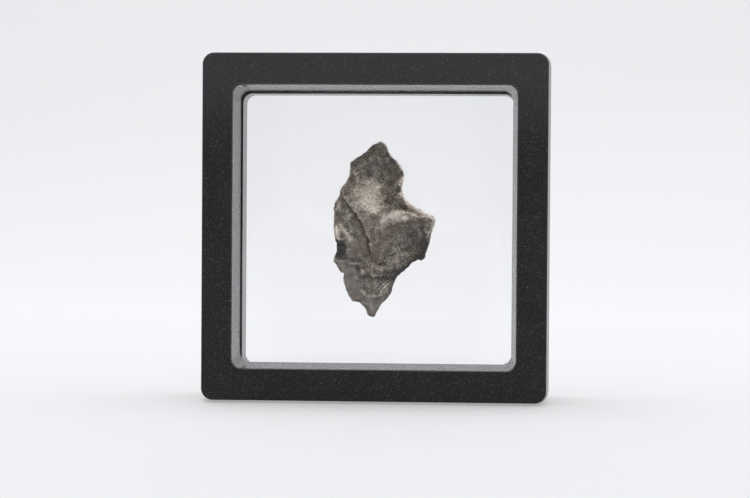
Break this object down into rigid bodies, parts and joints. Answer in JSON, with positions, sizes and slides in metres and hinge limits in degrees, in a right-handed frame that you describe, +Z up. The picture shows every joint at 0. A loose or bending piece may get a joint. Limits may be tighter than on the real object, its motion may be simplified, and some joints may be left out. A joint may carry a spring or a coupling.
{
  "type": "iron meteorite in a display frame",
  "caption": "Jagged iron meteorite floating between two clear stretched films in a square black two-part display frame that stands on its bottom edge.",
  "frame": {"origin": "on the surface the frame stands on, under the middle of its width and depth", "axes": "+Z up, -Y out of the front window, +X to the right seen from the front"},
  "size_m": [0.07, 0.02, 0.0697],
  "materials": {
    "frame": "black moulded plastic, matt spark-eroded faces and smooth window walls",
    "film": "clear stretched film",
    "meteorite": "etched and tumbled natural iron, dark grey with worn bright ridges"
  },
  "bodies": {
    "root": {"front_frame": "frame", "back_frame": "frame", "front_film": "film", "back_film": "film", "meteorite": "meteorite"}
  },
  "joints": []
}
